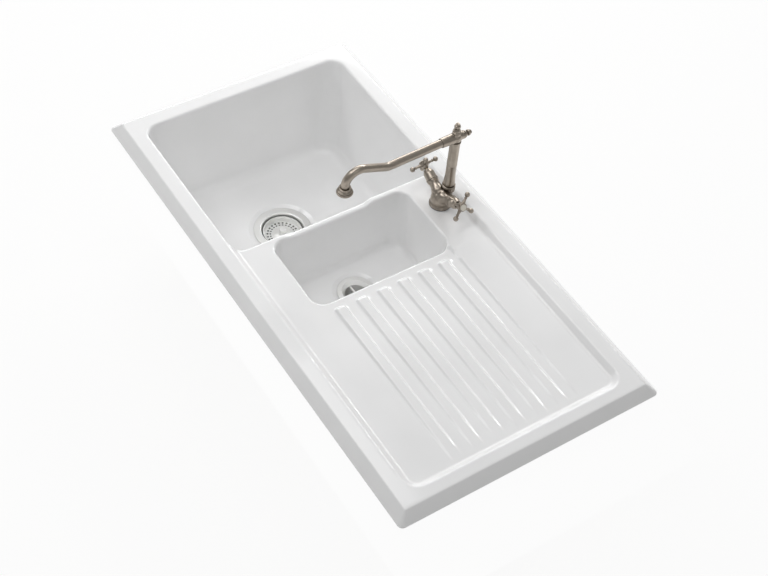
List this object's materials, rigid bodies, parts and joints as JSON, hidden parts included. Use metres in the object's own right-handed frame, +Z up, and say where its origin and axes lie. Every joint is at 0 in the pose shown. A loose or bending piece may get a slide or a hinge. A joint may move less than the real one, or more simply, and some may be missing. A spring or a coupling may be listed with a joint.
{
  "type": "inset kitchen sink with mixer tap",
  "caption": "Inset glazed ceramic kitchen sink with a main bowl, a half bowl and a ribbed drainer, fitted with a basket strainer and a traditional mixer tap with cross handles.",
  "frame": {"origin": "centre of the worktop cut-out that the sink drops into, level with the top of the worktop", "axes": "+X along the length from the main bowl towards the drainer, +Y to the rear where the tap stands, +Z up"},
  "size_m": [0.985, 0.508, 0.4865],
  "materials": {
    "glaze": "gloss",
    "tap_metal": "satin",
    "valve_metal": "satin",
    "waste_steel": "satin",
    "fixing_steel": "satin",
    "waste_plastic": "satin",
    "seal_rubber": "matte",
    "slip_plastic": "satin",
    "button_enamel": "gloss"
  },
  "bodies": {
    "root": {"grid_back_nut": "waste_plastic", "grid_top_seal": "seal_rubber", "grid_under_seal": "seal_rubber", "grid_waste": "waste_steel", "left_bonnet": "tap_metal", "left_cartridge": "valve_metal", "post_collar": "tap_metal", "right_bonnet": "tap_metal", "right_cartridge": "valve_metal", "sink_basin": "glaze", "strainer_cup": "waste_steel", "strainer_top_seal": "seal_rubber", "strainer_under_seal": "seal_rubber", "tap_base_seal": "seal_rubber", "tap_body": "tap_metal", "tap_clamp_pad": "seal_rubber", "tap_clamp_plate": "fixing_steel", "tap_fixing_nut": "valve_metal", "tap_stud": "fixing_steel", "waste_body": "waste_plastic", "waste_insert": "valve_metal", "waste_screw": "waste_steel"},
    "basket": {"basket": "waste_steel", "basket_knob": "waste_steel", "basket_stem": "waste_steel", "basket_seal": "seal_rubber", "basket_stem_nut": "waste_steel"},
    "left_valve": {"left_spindle": "valve_metal", "left_handle": "tap_metal", "left_handle_screw": "fixing_steel", "left_index_button": "button_enamel"},
    "right_valve": {"right_spindle": "valve_metal", "right_handle": "tap_metal", "right_handle_screw": "fixing_steel", "right_index_button": "button_enamel"},
    "spout": {"post": "tap_metal", "lower_seal_ring": "seal_rubber", "upper_seal_ring": "seal_rubber", "post_slip_ring": "slip_plastic", "spout_hub": "tap_metal", "spout_tube": "tap_metal", "outlet_bell": "tap_metal", "aerator_insert": "slip_plastic", "aerator_washer": "seal_rubber", "top_finial": "tap_metal", "rear_finial": "tap_metal"}
  },
  "joints": [
    {"name": "spout_swivel", "type": "hinge", "parent": "root", "child": "spout", "pos_m": [-0.032, 0.187, 0.036], "axis": [0, 0, 1], "continuous": true},
    {"name": "left_handle_turn", "type": "hinge", "parent": "root", "child": "left_valve", "pos_m": [-0.06215, 0.173, 0.04242], "axis": [-0.9135, 0, 0.4067], "range_deg": [0, 90]},
    {"name": "right_handle_turn", "type": "hinge", "parent": "root", "child": "right_valve", "pos_m": [-0.00185, 0.173, 0.04242], "axis": [0.9135, 0, 0.4067], "range_deg": [-90, 0]},
    {"name": "basket_lift", "type": "slide", "parent": "root", "child": "basket", "axis": [0, 0, 1], "range_m": [0, 0.26]}
  ]
}
